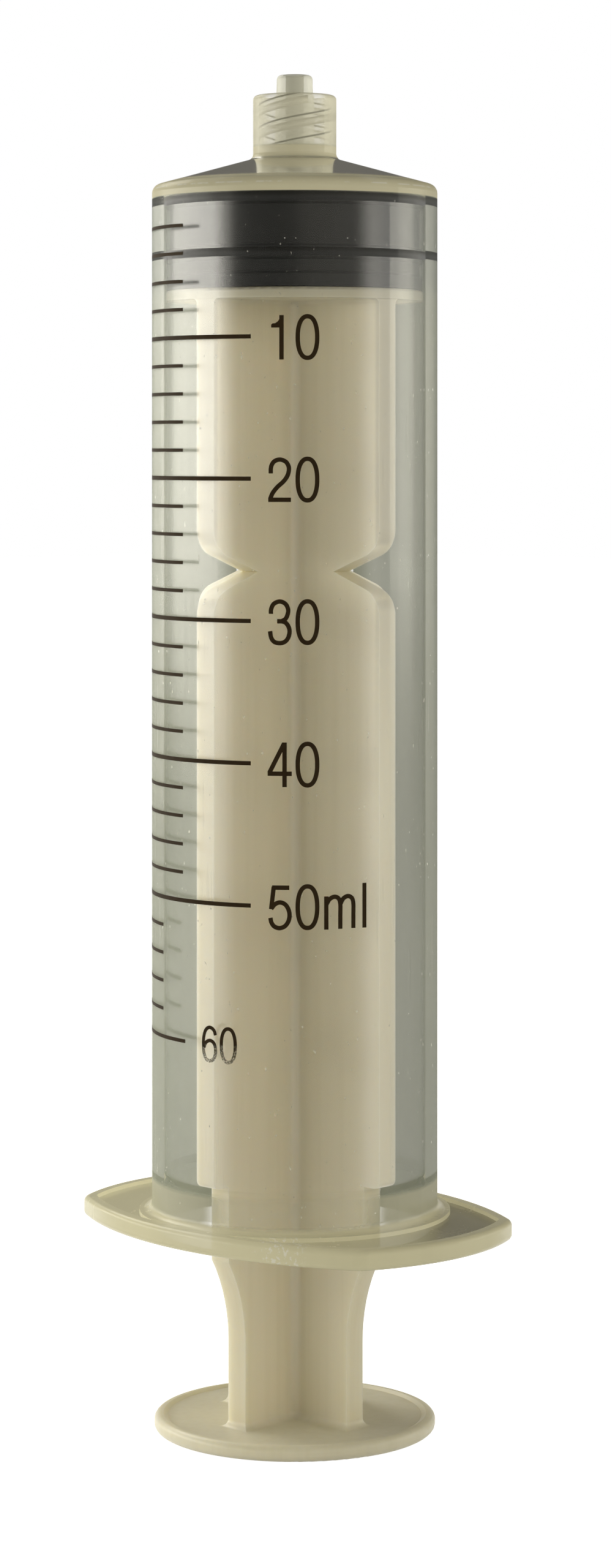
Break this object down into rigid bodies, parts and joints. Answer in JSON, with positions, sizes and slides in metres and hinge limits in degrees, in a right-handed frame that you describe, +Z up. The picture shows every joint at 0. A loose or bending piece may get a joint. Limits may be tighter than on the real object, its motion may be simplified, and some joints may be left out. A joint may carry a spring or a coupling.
{
  "type": "luer lock syringe",
  "caption": "Luer lock syringe: clear graduated barrel with winged finger flange, black rubber stopper and a cream ribbed plunger rod with a thumb plate that slides and turns.",
  "frame": {"origin": "centre of the thumb plate's underside, with the plunger pushed fully in", "axes": "+Z up the syringe to the luer tip, +X along the finger flange's long way"},
  "size_m": [0.0494, 0.036, 0.1492],
  "materials": {
    "clear_plastic": "clear, faintly milky, glossy",
    "black_rubber": "smooth, lightly oiled",
    "cream_plastic": "satin"
  },
  "bodies": {
    "barrel": {"barrel": "clear_plastic"},
    "stopper": {"stopper": "black_rubber"},
    "plunger_rod": {"plunger_rod": "cream_plastic"}
  },
  "joints": [
    {"name": "plunger_slide", "type": "slide", "parent": "barrel", "child": "stopper", "axis": [0, 0, -1], "range_m": [0, 0.095]},
    {"name": "plunger_spin", "type": "hinge", "parent": "stopper", "child": "plunger_rod", "pos_m": [0, 0, 0.13], "axis": [0, 0, 1], "continuous": true}
  ]
}
